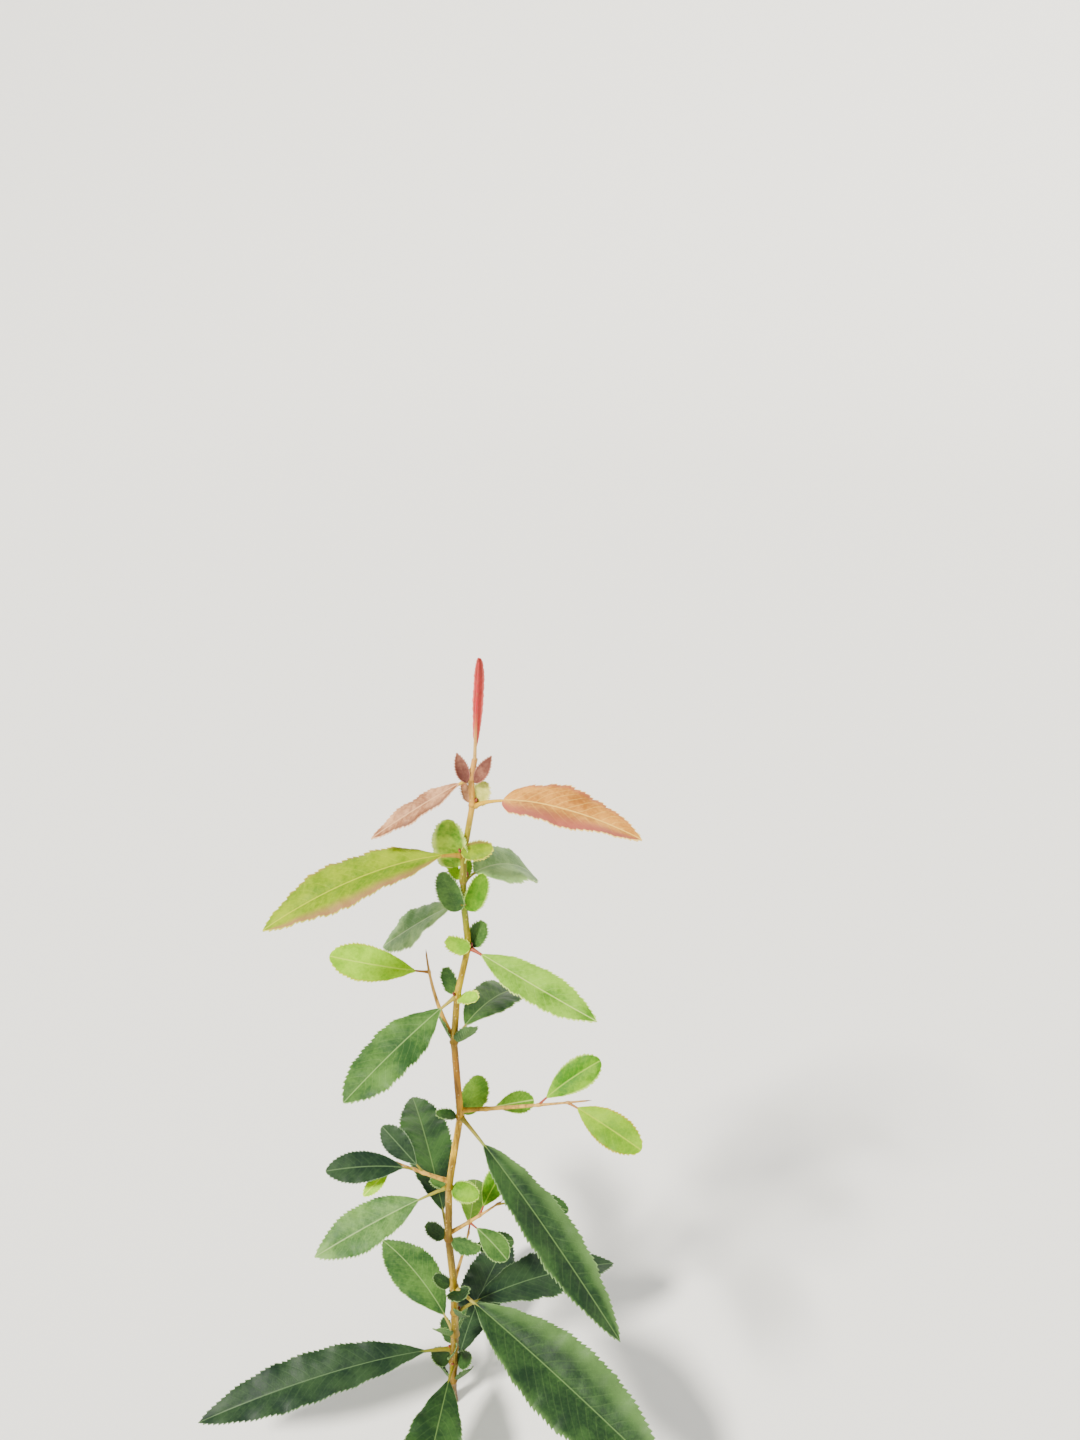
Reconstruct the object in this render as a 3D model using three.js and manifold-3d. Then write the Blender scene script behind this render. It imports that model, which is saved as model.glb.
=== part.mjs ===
// A one-year Chinese quince sapling: one straight, slightly zigzag stem with a large toothed leaf at every joint,
// a pair of ear-shaped leaflets (stipules) hugging the stem under each leaf, a few short thorn-tipped side shoots
// with small leaves of their own, and a folded red leaf at the tip.
// Millimetres, +Z up. The origin is the centre of the flat cut under the stem, at ground level.
// Bearings are in degrees about +Z: 0 points along +X and 90 along +Y. Rises are degrees above the horizontal.
import * as THREE from "three";
import { mergeVertices } from "three/addons/utils/BufferGeometryUtils.js";
import Module from "manifold-3d";

const wasm = await Module();
wasm.setup();

const { degToRad, lerp, clamp } = THREE.MathUtils;

// The stem's radius at the ground, just above the root flare and at the tip, and how the flare dies away.
const FOOT_RADIUS = 3.9;
const STEM_RADIUS = 2.45;
const TIP_RADIUS = 1.3;
const FLARE_HEIGHT = 9;
const STEM_SIDES = 10;
// Each joint swells by this share of the radius, over this half height.
const SWELL = 0.2;
const SWELL_HALF = 3.2;
// What leaves and shoots keep clear of the limb that carries them.
const CLEAR = 0.3;

// The share of a blade's length that its thickness is, and the least thickness.
const THICK_SHARE = 0.0115;
const LEAST_THICK = 0.85;
const STALK_SIDES = 5;
// How far the stalk runs on into its blade, as a share of the blade's length.
const STALK_SUNK = 0.12;
const BLADE_STEPS = 12;
const EAR_STEPS = 5;
const PATH_STEPS = 48;
// A leaf droops most along its stalk: the rise falls by the droop times this power of the share of its length.
const DROOP_POWER = 0.6;

// The joints of the stem that carry a leaf, from the ground up. Each row holds the joint's height and its sideways
// sway along X, then its leaf's bearing, rise at the stem, droop, stalk length, blade length, width, roll about its
// own line and tint. The last number is there for a blade that is broadest near its base.
const JOINTS = [
  [24, 1.5, 75, 30, 46, 11, 90, 30, 0, "dark"],
  [40, 2.5, -98, 20, 36, 10, 104, 37, 0, "dark"],
  [56, 3.5, -163, 24, 43, 15, 138, 29, -6, "dark"],
  [71, 4.6, 127, 40, 54, 10, 66, 28, 8, "green"],
  [92, 5.2, 22, 22, 46, 12, 94, 29, 6, "dark"],
  [115, 5.7, -36, -6, 16, 12, 136, 44, 6, "green"],
  [161, 4.3, 106, 34, 56, 13, 96, 30, 0, "green"],
  [203, 6.2, -160, -8, 14, 15, 62, 25, -8, "pale"],
  [258, 14.3, -47, -13, 23, 17, 113, 25, 2, "green"],
  [313, 13.2, 62, 20, 60, 9, 64, 25, 0, "green"],
  [342, 15.8, -142, -17, 4, 8, 62, 28, -6, "green"],
  [373, 22.2, -38, -3, 5, 6, 65, 20, 6, "fresh"],
  [400, 20.9, 170, -32, 14, 5, 48, 22.5, -8, "pale"],
  [413, 21.2, 40, 26, 84, 5, 46, 27, 16, "pale", 0.7],
  [427, 21.8, -160, 18, 45, 8, 85, 27, -6, "olive"],
  [454, 26.7, -26, 38, 60, 15, 63.5, 25, 10, "bronze", 0.5],
  [467, 26.3, -168, -24, 10, 4, 46, 11, -18, "bronze", 0.75],
];
const TIP_HEIGHT = 477;
const TIP_SWAY = 28.3;

// Each joint has a pair of stipules, ear-shaped leaflets that stand on a low collar round the stem. Where they don't
// spread evenly to both sides of the leaf, this holds each pair, by the leaf's number. A row holds the ear's bearing,
// rise, roll, length and width. Where the ear isn't seated on the collar by its foot, it goes on with the bearing of
// the foot as seen from the stem, how far out of the collar that is, and how far below the joint.
const EARS_EVEN = { spread: 80, rise: 46, roll: 52, length: 15, span: 2, width: 0.66 };
const EARS_SET = {
  6: [[-64, 8, 0, 10, 15], [170, 30, -40, 12, 8]],
  7: [[170, 34, -40, 14, 9], [-10, -24, 84, 17, 14]],
  8: [[-24, 2, 44, 17, 12], [168, 12, -20, 9, 6]],
  9: [[184, 6, 0, 11, 8], [40, 56, 72, 24, 18]],
  11: [[-40, 16, 10, 13, 10], [128, 50, -50, 14, 9]],
  12: [[180, 22, -80, 12.5, 10, -70, 0.4, -0.6], [24, 52, 40, 14, 10]],
  13: [[176, 64, -84, 23, 12, -150, 0.4, 3.9], [6, 62, 84, 22, 10.8, -30, 0.4, 3.9]],
  14: [[74, 40, 20, 9, 6], [140, 20, -20, 8, 6]],
  15: [[172, 76, -86, 26, 16.5, 176, 2, 7.4], [0, 4, 66, 14.5, 9.5, -110, 0.4, -2.6]],
  16: [[150, 66, -70, 11.5, 4.8], [-6, 60, 76, 12.8, 9]],
  17: [[176, 66, -66, 15.5, 6.6, -130, 0.4, 1], [-4, 52, 66, 16, 6.4, -50, 0.4, 1]],
};
// From this height on the ears are young and pointed.
const YOUNG_FROM = 460;
const COLLAR_WIDTH = 0.9;
const COLLAR_HALF = 1;

// The folded young leaf that stands on the stem's tip.
const TIP_LEAF = {
  bearing: -40, rise: 87, droop: 3, roll: -56, stalk: 4, length: 45, width: 9.6, fold: 66, thick: 1.6,
};

// The side shoots: the height of the joint each grows from, its bearing, rise, bend towards the sky and length, and
// its leaves. A leaf's row holds the share of the shoot's length where it sits, bearing, rise, droop, length, width,
// roll and tint.
const SHOOTS = [
  {
    name: "side_shoot_left_high", height: 314.5, bearing: 142, rise: 46, lift: 42, length: 53,
    leaves: [
      [0.74, -172, 12, -8, 43, 19, -34, "lime"],
    ],
  },
  {
    name: "side_shoot_right", height: 262.5, bearing: -4, rise: 8, lift: 4, length: 70,
    leaves: [
      [0.6, 18, 48, 26, 34, 16, 30, "fresh"],
      [0.82, -34, 0, 18, 38, 18, 24, "lime"],
      [0.2, 24, -8, 4, 22, 12, 30, "fresh"],
    ],
  },
  {
    name: "side_shoot_right_low", height: 165, bearing: 20, rise: 14, lift: 14, length: 36,
    leaves: [
      [0.88, 6, 4, 24, 36, 14, 20, "green"],
      [0.55, 62, 40, 30, 26, 14, 20, "fresh"],
      [0.36, -34, -4, 30, 24, 14, 10, "fresh"],
    ],
  },
  {
    name: "side_shoot_left_low", height: 207.5, bearing: 172, rise: 12, lift: 12, length: 34,
    leaves: [
      [0.6, -172, 30, 34, 42, 17, -20, "dark"],
      [0.92, -148, -34, 0, 20, 8, -20, "lime"],
      [0.45, 150, 46, 20, 28, 14, -40, "dark"],
    ],
  },
  {
    name: "side_shoot_back", height: 119, bearing: 66, rise: 34, lift: 16, length: 32,
    leaves: [
      [0.86, 86, 10, 30, 38, 17, 0, "fresh"],
      [0.5, 18, 20, 30, 26, 14, 0, "green"],
    ],
  },
];
const SHOOT_RADIUS = 1.25;
const THORN_RADIUS = 0.38;
const SHOOT_SIDES = 8;

// Base colour and roughness of each kind of surface, as the materials below take them.
const TINTS = {
  stem: ["#a8762a", 0.62],
  shoot: ["#b98a4e", 0.65],
  dark: ["#3f6b3c", 0.5],
  green: ["#4f7d3f", 0.5],
  pale: ["#6f9468", 0.55],
  fresh: ["#7fae45", 0.5],
  lime: ["#a3bf3e", 0.5],
  olive: ["#8c9a3c", 0.5],
  bronze: ["#a9764f", 0.5],
  red: ["#c8424e", 0.45],
};

// A number from 0 to 1 that looks random, fixed for each pair of a plant part and a purpose.
function wobble(part, purpose) {
  const x = Math.sin(part * 12.9898 + purpose * 78.233) * 43758.5453;
  return x - Math.floor(x);
}

function between(low, high, part, purpose) {
  return lerp(low, high, wobble(part, purpose));
}

// The stem runs straight from joint to joint, and kinks a little away from each leaf.
const KINK = 0.9;
const STEM_LINE = [
  new THREE.Vector3(0, 0, 0),
  ...JOINTS.map(([height, sway, bearing]) => new THREE.Vector3(sway, -KINK * Math.sin(degToRad(bearing)), height)),
  new THREE.Vector3(TIP_SWAY, 0, TIP_HEIGHT),
];

// The stem's centre at a height.
function stemCentre(z) {
  const above = Math.max(1, STEM_LINE.findIndex((p) => p.z >= z));
  const [low, high] = [STEM_LINE[above - 1], STEM_LINE[above]];
  return low.clone().lerp(high, (z - low.z) / (high.z - low.z));
}

// The stem's radius at a height: an even taper, the root flare and a swelling at each joint.
function stemRadius(z) {
  const taper = lerp(STEM_RADIUS, TIP_RADIUS, z / TIP_HEIGHT);
  const flare = (FOOT_RADIUS - STEM_RADIUS) * Math.exp(-z / FLARE_HEIGHT);
  const nearest = Math.min(...JOINTS.map(([height]) => Math.abs(height - z)));
  const swell = SWELL * Math.max(0, 1 - nearest / SWELL_HALF);
  return taper * (1 + swell) + flare;
}

// A closed geometry as a manifold-3d solid.
function solidOf(geometry) {
  const bare = new THREE.BufferGeometry().setAttribute("position", geometry.getAttribute("position"));
  bare.setIndex(geometry.index);
  const merged = mergeVertices(bare, 1e-4);
  const corners = Array.from(merged.index.array);
  const kept = [];
  for (let i = 0; i < corners.length; i += 3) {
    const [a, b, c] = corners.slice(i, i + 3);
    if (a !== b && b !== c && c !== a) kept.push(a, b, c);
  }
  return new wasm.Manifold(new wasm.Mesh({
    numProp: 3,
    vertProperties: merged.attributes.position.array,
    triVerts: new Uint32Array(kept),
  }));
}

function geometryOf(solid) {
  const mesh = solid.getMesh();
  const geometry = new THREE.BufferGeometry();
  geometry.setAttribute("position", new THREE.BufferAttribute(mesh.vertProperties, 3));
  geometry.setIndex(new THREE.BufferAttribute(mesh.triVerts, 1));
  geometry.computeVertexNormals();
  return geometry;
}

// A turned solid round the stem's line: the profile's rings follow the stem's centre.
function turned(profile) {
  const geometry = new THREE.LatheGeometry(profile.map(([r, z]) => new THREE.Vector2(r, z)), STEM_SIDES);
  geometry.rotateX(Math.PI / 2);
  const position = geometry.getAttribute("position");
  for (let i = 0; i < position.count; i += 1) {
    const centre = stemCentre(position.getZ(i));
    position.setXY(i, position.getX(i) + centre.x, position.getY(i) + centre.y);
  }
  return solidOf(geometry);
}

// The whole stem, from the flat cut at the ground to the tip. It can be made wider by a margin, to cut its room out
// of what stands beside it.
function turnedStem(margin) {
  const heights = [0, 4, 10, 17];
  for (const [height] of JOINTS) heights.push(height - SWELL_HALF, height, height + SWELL_HALF);
  heights.push(TIP_HEIGHT);
  return turned([[0, 0], ...heights.map((z) => [stemRadius(z) + margin, z]), [0, TIP_HEIGHT]]);
}

// The low ring round the stem at a joint, just clear of it.
function collar(height) {
  const ring = [[0, -COLLAR_HALF], [COLLAR_WIDTH, 0], [0, COLLAR_HALF], [0, -COLLAR_HALF]];
  return turned(ring.map(([out, up]) => [stemRadius(height + up) + CLEAR + 0.02 + out, height + up]));
}

const STEM_ROOM = turnedStem(CLEAR);

const MATERIALS = Object.fromEntries(Object.entries(TINTS).map(([name, [color, roughness]]) => [
  name,
  new THREE.MeshStandardMaterial({ name, color, roughness, metalness: 0 }),
]));

function piece(name, solid, tint) {
  const mesh = new THREE.Mesh(geometryOf(solid), MATERIALS[tint]);
  mesh.name = name;
  return mesh;
}

// The line of a stalk and its midrib, from a start point at a bearing and a rise. A negative droop bends it upwards.
// The result gives the point and the frame (along, side, up) at any length from the start.
function pathOf({ start, bearing, rise, droop, sweep = 0, roll = 0, twist = 0 }, total) {
  const frameAt = (share) => {
    const b = degToRad(bearing + sweep * share);
    const e = degToRad(rise - droop * clamp(share, 0, 1) ** DROOP_POWER);
    const r = degToRad(roll + twist * share);
    const along = new THREE.Vector3(Math.cos(e) * Math.cos(b), Math.cos(e) * Math.sin(b), Math.sin(e));
    const level = new THREE.Vector3(-Math.sin(b), Math.cos(b), 0);
    const upright = along.clone().cross(level);
    return {
      along,
      side: level.clone().multiplyScalar(Math.cos(r)).addScaledVector(upright, Math.sin(r)),
      up: upright.clone().multiplyScalar(Math.cos(r)).addScaledVector(level, -Math.sin(r)),
    };
  };
  const points = [start.clone()];
  for (let i = 0; i < PATH_STEPS; i += 1) {
    const { along } = frameAt((i + 0.5) / PATH_STEPS);
    points.push(points[i].clone().addScaledVector(along, total / PATH_STEPS));
  }
  return (length) => {
    const place = clamp(length / total, 0, 1) * PATH_STEPS;
    const i = Math.min(PATH_STEPS - 1, Math.floor(place));
    return { point: points[i].clone().lerp(points[i + 1], place - i), ...frameAt(length / total) };
  };
}

// A blade's half width along its length, as a share of the greatest: a power curve that is pointed at both ends.
function outline(t, base, tip) {
  const widest = base / (base + tip);
  return (t / widest) ** base * ((1 - t) / (1 - widest)) ** tip;
}

// A round, tapering rod along a path, from length 0 to length, whose radius is a function of the share of its length.
function rod(path, length, radius, sides, steps) {
  const profile = [new THREE.Vector2(0, 0)];
  for (let i = 0; i <= steps; i += 1) profile.push(new THREE.Vector2(radius(i / steps), (i / steps) * length));
  profile.push(new THREE.Vector2(0, length));
  const geometry = new THREE.LatheGeometry(profile, sides);
  const position = geometry.getAttribute("position");
  for (let i = 0; i < position.count; i += 1) {
    const { point, side, up } = path(position.getY(i));
    point.addScaledVector(up, position.getX(i)).addScaledVector(side, position.getZ(i));
    position.setXYZ(i, point.x, point.y, point.z);
  }
  return solidOf(geometry);
}

// A blade: a thin box in many steps, bent to its path. Its halves rise by the fold, curl down at the margins by the
// curl and wave there. Its steps are closest at the two ends.
function blade(path, from, shape, across, steps = BLADE_STEPS) {
  const { length, width, thick, fold = 0, curl = 0, wave = 0, waves = 0, phase = 0, base, tip } = shape;
  const geometry = new THREE.BoxGeometry(2, 1, 1, across, 1, steps);
  const position = geometry.getAttribute("position");
  for (let i = 0; i < position.count; i += 1) {
    const u = position.getX(i);
    const even = position.getZ(i) + 0.5;
    const t = lerp(even, 0.5 - 0.5 * Math.cos(Math.PI * even), 0.6);
    const share = outline(clamp(t, 0.004, 0.996), base, tip);
    const half = Math.max((width / 2) * share, 0.45);
    const angle = degToRad(fold - (curl * Math.abs(u)) / 2);
    const ripple = wave * share * u * u * Math.sin(2 * Math.PI * waves * t + phase + (u < 0 ? 2 : 0));
    const { point, side, up } = path(from + t * length);
    point.addScaledVector(side, u * half * Math.cos(angle));
    point.addScaledVector(up, Math.abs(u) * half * Math.sin(angle) + ripple);
    point.addScaledVector(up, position.getY(i) * thick * (1 - 0.3 * Math.abs(u)));
    position.setXYZ(i, point.x, point.y, point.z);
  }
  return solidOf(geometry);
}

function bladeThickness(length) {
  return Math.max(LEAST_THICK, THICK_SHARE * length);
}

// What is left of a leaf or a shoot once it keeps clear of some limbs: the largest piece.
function clearOf(room, solid) {
  const bodies = solid.subtract(room).decompose();
  return bodies.reduce((best, body) => (body.volume() > best.volume() ? body : best));
}

// One leaf of the stem: stalk, blade, collar and the two ears, fused into one solid.
function stemLeaf(number, [height, , bearing, rise, droop, stalk, length, width, roll, tint, base]) {
  const toward = new THREE.Vector3(Math.cos(degToRad(bearing)), Math.sin(degToRad(bearing)), 0);
  const stalkRadius = 0.55 + 0.0055 * length;
  const start = stemCentre(height).addScaledVector(toward, stemRadius(height));
  const path = pathOf({
    start,
    bearing,
    rise,
    droop,
    sweep: between(-10, 10, number, 2),
    roll,
    twist: between(-14, 14, number, 4),
  }, stalk + length);
  const shape = {
    length,
    width,
    thick: bladeThickness(length),
    fold: between(12, 22, number, 5),
    curl: between(14, 34, number, 6),
    wave: 0.02 * width + between(0.2, 0.7, number, 7),
    waves: between(1.6, 2.8, number, 8),
    phase: between(0, 6, number, 9),
    base: base ?? between(0.78, 0.95, number, 10),
    tip: between(0.78, 0.92, number, 11),
  };
  let solid = rod(path, stalk + STALK_SUNK * length, (share) => stalkRadius * (1 - 0.45 * share), STALK_SIDES, 2);
  solid = solid.add(blade(path, stalk, shape, length > 100 ? 4 : 2));
  solid = solid.add(collar(height));
  for (const row of earsOf(number, bearing)) solid = solid.add(ear(height, row));
  return piece(`leaf_${String(number).padStart(2, "0")}`, clearOf(LIMBS_ROOM, solid), tint);
}

// The rows of a leaf's two ears.
function earsOf(number, bearing) {
  const { spread, rise, roll, length, span, width } = EARS_EVEN;
  return EARS_SET[number] ?? [-1, 1].map((hand) => {
    const long = length + between(0, span, number, 20 + hand);
    return [bearing + hand * spread, rise, hand * roll, long, width * long];
  });
}

// An ear: a small broad leaflet without a stalk, hollowed like a spoon, that bends upwards.
function ear(height, [bearing, rise, roll, length, width, seat = bearing, out = 0.3, drop = 0]) {
  const foot = new THREE.Vector3(Math.cos(degToRad(seat)), Math.sin(degToRad(seat)), 0);
  const start = stemCentre(height).addScaledVector(foot, stemRadius(height) + CLEAR + out);
  start.z -= drop;
  const path = pathOf({ start, bearing, rise, droop: -14, roll }, length);
  const young = height > YOUNG_FROM;
  const shape = {
    length,
    width,
    thick: LEAST_THICK,
    curl: -30,
    base: young ? 0.7 : 0.38,
    tip: young ? 0.9 : 0.44,
  };
  return blade(path, 0, shape, 2, EAR_STEPS);
}

// The line of a side shoot, which starts on the stem's centre line, and its rod, made wider by a margin.
function shootPath({ height, bearing, rise, lift, length }) {
  return pathOf({ start: stemCentre(height), bearing, rise, droop: -lift }, length);
}

function shootRadius(share) {
  return lerp(SHOOT_RADIUS, THORN_RADIUS, share ** 1.3);
}

function shootRod(shoot, margin) {
  return rod(shootPath(shoot), shoot.length, (share) => shootRadius(share) + margin, SHOOT_SIDES, 7);
}

const LIMBS_ROOM = SHOOTS.reduce((room, shoot) => room.add(shootRod(shoot, CLEAR)), STEM_ROOM);

// One side shoot and its small leaves. The shoot starts just clear of the stem and ends in a thorn.
function sideShoot(shoot, order) {
  return [
    piece(shoot.name, clearOf(STEM_ROOM, shootRod(shoot, 0)), "shoot"),
    ...shoot.leaves.map((row, i) => shootLeaf(shoot, row, i + 1, order)),
  ];
}

// A small leaf of a side shoot: its short stalk leaves the shoot's side, and its blade is broadest beyond the middle.
function shootLeaf(shoot, row, number, order) {
  const [share, bearing, rise, droop, length, width, roll, tint] = row;
  const part = 100 + 10 * order + number;
  const start = shootPath(shoot)(share * shoot.length).point;
  const stalkRadius = 0.55;
  const stalk = shootRadius(share) + 3 + 0.06 * length;
  const path = pathOf({
    start,
    bearing,
    rise,
    droop,
    sweep: between(-8, 8, part, 2),
    roll,
    twist: between(-12, 12, part, 4),
  }, stalk + length);
  const shape = {
    length,
    width,
    thick: bladeThickness(length),
    fold: between(8, 18, part, 5),
    curl: between(10, 26, part, 6),
    wave: 0.02 * width,
    waves: 1.5,
    phase: between(0, 6, part, 9),
    base: between(0.85, 1.05, part, 10),
    tip: between(0.55, 0.75, part, 11),
  };
  const shaft = rod(path, stalk + STALK_SUNK * length, (at) => stalkRadius * (1 - 0.3 * at), STALK_SIDES, 2);
  const solid = clearOf(LIMBS_ROOM, shaft.add(blade(path, stalk, shape, 2, 10)));
  return piece(`${shoot.name}_leaf_${number}`, solid, tint);
}

// The folded red leaf at the tip: its stalk rises straight out of the stem's end.
function tipLeaf() {
  const start = new THREE.Vector3(TIP_SWAY, 0, TIP_HEIGHT + CLEAR);
  const path = pathOf({ start, ...TIP_LEAF }, TIP_LEAF.stalk + TIP_LEAF.length);
  const shaft = rod(path, TIP_LEAF.stalk + 6, (share) => 0.9 * (1 - 0.3 * share), STALK_SIDES, 2);
  const shape = { ...TIP_LEAF, base: 0.6, tip: 0.42 };
  return piece("tip_leaf", shaft.add(blade(path, TIP_LEAF.stalk, shape, 2)), "red");
}

const sapling = new THREE.Group();
sapling.name = "chinese_quince_sapling";
sapling.add(piece("stem", turnedStem(0), "stem"));
JOINTS.forEach((row, i) => sapling.add(stemLeaf(i + 1, row)));
SHOOTS.forEach((shoot, i) => sapling.add(...sideShoot(shoot, i + 1)));
sapling.add(tipLeaf());

export default sapling;
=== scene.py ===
# %% [markdown]
# # A Chinese quince sapling
# The real plant is one upright stem, about half a metre tall, with a toothed leaf at every joint. The loaded
# solids hold its shape in plain thick blades. Here each node gets a finer piece that grows by the same rule: thin
# blades with teeth, veins and curled margins, a stem with bark relief, and thorny side shoots. The plant is worked
# out in millimetres and scaled to metres as each mesh is finished.

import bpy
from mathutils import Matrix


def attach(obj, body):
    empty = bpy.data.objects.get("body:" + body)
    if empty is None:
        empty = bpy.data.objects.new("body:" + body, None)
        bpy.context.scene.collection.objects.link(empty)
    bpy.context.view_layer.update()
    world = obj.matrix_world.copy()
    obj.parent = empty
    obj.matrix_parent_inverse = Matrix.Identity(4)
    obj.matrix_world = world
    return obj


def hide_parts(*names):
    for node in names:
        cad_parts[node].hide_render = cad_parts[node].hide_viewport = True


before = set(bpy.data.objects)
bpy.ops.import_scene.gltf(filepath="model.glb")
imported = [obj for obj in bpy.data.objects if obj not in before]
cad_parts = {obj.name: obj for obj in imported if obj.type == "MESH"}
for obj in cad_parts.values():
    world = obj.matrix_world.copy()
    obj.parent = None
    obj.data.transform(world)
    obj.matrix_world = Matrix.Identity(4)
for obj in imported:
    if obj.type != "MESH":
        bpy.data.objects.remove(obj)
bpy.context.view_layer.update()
print("nodes to dress:", len(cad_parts))

# %% Tools and units
from math import ceil, cos, exp, floor, pi, radians, sin

import bmesh
import bpy
from mathutils import Vector, noise

MM = 0.001
print("one millimetre is", MM, "m")

# %% [markdown]
# ## Camera
# The camera comes first, because it decides how much detail shows. The photograph looks down at the plant from a
# little above its tip, so the camera stands 0.72 m up and tips 29 degrees below the horizon. The lens is given for
# the long side of the picture, so its sensor is fitted to the height.

# %% Place the camera
CAMERA_PLACE = (0.0562, -0.4037, 0.72)
CAMERA_PITCH = 29
CAMERA_LENS = 27.5
SENSOR_HEIGHT = 36

camera = bpy.data.objects.new("photo_camera", bpy.data.cameras.new("photo_camera"))
camera.data.sensor_fit = "VERTICAL"
camera.data.sensor_height = SENSOR_HEIGHT
camera.data.lens = CAMERA_LENS
camera.location = CAMERA_PLACE
camera.rotation_euler = (radians(90 - CAMERA_PITCH), 0, 0)
bpy.context.collection.objects.link(camera)
bpy.context.scene.camera = camera
print("camera lens", camera.data.lens, "mm at", tuple(camera.location))

# %% [markdown]
# ## The rule of growth
# A sapling could be modelled leaf by leaf, but its parts all follow one pattern: joints climb the stem, and each
# joint carries a leaf with its own bearing, rise and droop. So the measured numbers stand in one table, and
# functions turn a row into a curve in space. The same rule made the solids, so every fine piece lands on its own.

# %% The joints of the stem
# Each row: height, sway along X, then the leaf's bearing, rise, droop, stalk, length, width, roll and tint. The
# last number is there for a blade that is broadest near its base.
JOINTS = [
    (24, 1.5, 75, 30, 46, 11, 90, 30, 0, "dark"),
    (40, 2.5, -98, 20, 36, 10, 104, 37, 0, "dark"),
    (56, 3.5, -163, 24, 43, 15, 138, 29, -6, "dark"),
    (71, 4.6, 127, 40, 54, 10, 66, 28, 8, "green"),
    (92, 5.2, 22, 22, 46, 12, 94, 29, 6, "dark"),
    (115, 5.7, -36, -6, 16, 12, 136, 44, 6, "green"),
    (161, 4.3, 106, 34, 56, 13, 96, 30, 0, "green"),
    (203, 6.2, -160, -8, 14, 15, 62, 25, -8, "pale"),
    (258, 14.3, -47, -13, 23, 17, 113, 25, 2, "green"),
    (313, 13.2, 62, 20, 60, 9, 64, 25, 0, "green"),
    (342, 15.8, -142, -17, 4, 8, 62, 28, -6, "green"),
    (373, 22.2, -38, -3, 5, 6, 65, 20, 6, "fresh"),
    (400, 20.9, 170, -32, 14, 5, 48, 22.5, -8, "pale"),
    (413, 21.2, 40, 26, 84, 5, 46, 27, 16, "pale", 0.7),
    (427, 21.8, -160, 18, 45, 8, 85, 27, -6, "olive"),
    (454, 26.7, -26, 38, 60, 15, 63.5, 25, 10, "bronze", 0.5),
    (467, 26.3, -168, -24, 10, 4, 46, 11, -18, "bronze", 0.75),
]
TIP_HEIGHT = 477
TIP_SWAY = 28.3
TIP_LEAF = {
    "bearing": -40, "rise": 87, "droop": 3, "roll": -56, "stalk": 4, "length": 45, "width": 9.6, "fold": 66,
}
print("leaves on the stem:", len(JOINTS))

# %% The stipules
# Where the two ear-shaped leaflets at a joint aren't even, a row holds an ear's bearing, rise, roll, length, width
# and tint, and for some the bearing of its foot, how far out that is and how far below the joint.
EARS_EVEN = {"spread": 80, "rise": 46, "roll": 52, "length": 15, "span": 2, "width": 0.66}
EARS_SET = {
    6: [(-64, 8, 0, 10, 15, "green"), (170, 30, -40, 12, 8, "green")],
    7: [(170, 34, -40, 14, 9, "green"), (-10, -24, 84, 17, 14, "mild")],
    8: [(-24, 2, 44, 17, 12, "vivid"), (168, 12, -20, 9, 6, "mild")],
    9: [(184, 6, 0, 11, 8, "mild"), (40, 56, 72, 24, 18, "fresh")],
    11: [(-40, 16, 10, 13, 10, "lime"), (128, 50, -50, 14, 9, "mild")],
    12: [(180, 22, -80, 12.5, 10, "lime", -70, 0.4, -0.6), (24, 52, 40, 14, 10, "mild")],
    13: [(176, 64, -84, 23, 12, "mild", -150, 0.4, 3.9), (6, 62, 84, 22, 10.8, "vivid", -30, 0.4, 3.9)],
    14: [(74, 40, 20, 9, 6, "fresh"), (140, 20, -20, 8, 6, "lime")],
    15: [(172, 76, -86, 26, 16.5, "glow", 176, 2, 7.4), (0, 4, 66, 14.5, 9.5, "olive", -110, 0.4, -2.6)],
    16: [(150, 66, -70, 11.5, 4.8, "dusk"), (-6, 60, 76, 12.8, 9, "cream")],
    17: [(176, 66, -66, 15.5, 6.6, "plum", -130, 0.4, 1), (-4, 52, 66, 16, 6.4, "plum", -50, 0.4, 1)],
}
# Above this height an ear is young, with longer points and shallower teeth.
YOUNG_FROM = 460
print("joints with set stipules:", sorted(EARS_SET))

# %% The side shoots
# Each leaf row: share of the shoot's length, bearing, rise, droop, length, width, roll and tint.
SHOOTS = [
    ("side_shoot_left_high", {"height": 314.5, "bearing": 142, "rise": 46, "lift": 42, "length": 53},
     [(0.74, -172, 12, -8, 43, 19, -34, "lime")]),
    ("side_shoot_right", {"height": 262.5, "bearing": -4, "rise": 8, "lift": 4, "length": 70},
     [(0.6, 18, 48, 26, 34, 16, 30, "fresh"),
      (0.82, -34, 0, 18, 38, 18, 24, "lime"),
      (0.2, 24, -8, 4, 22, 12, 30, "fresh")]),
    ("side_shoot_right_low", {"height": 165, "bearing": 20, "rise": 14, "lift": 14, "length": 36},
     [(0.88, 6, 4, 24, 36, 14, 20, "green"),
      (0.55, 62, 40, 30, 26, 14, 20, "fresh"),
      (0.36, -34, -4, 30, 24, 14, 10, "fresh")]),
    ("side_shoot_left_low", {"height": 207.5, "bearing": 172, "rise": 12, "lift": 12, "length": 34},
     [(0.6, -172, 30, 34, 42, 17, -20, "dark"),
      (0.92, -148, -34, 0, 20, 8, -20, "lime"),
      (0.45, 150, 46, 20, 28, 14, -40, "dark")]),
    ("side_shoot_back", {"height": 119, "bearing": 66, "rise": 34, "lift": 16, "length": 32},
     [(0.86, 86, 10, 30, 38, 17, 0, "fresh"),
      (0.5, 18, 20, 30, 26, 14, 0, "green")]),
]
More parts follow.
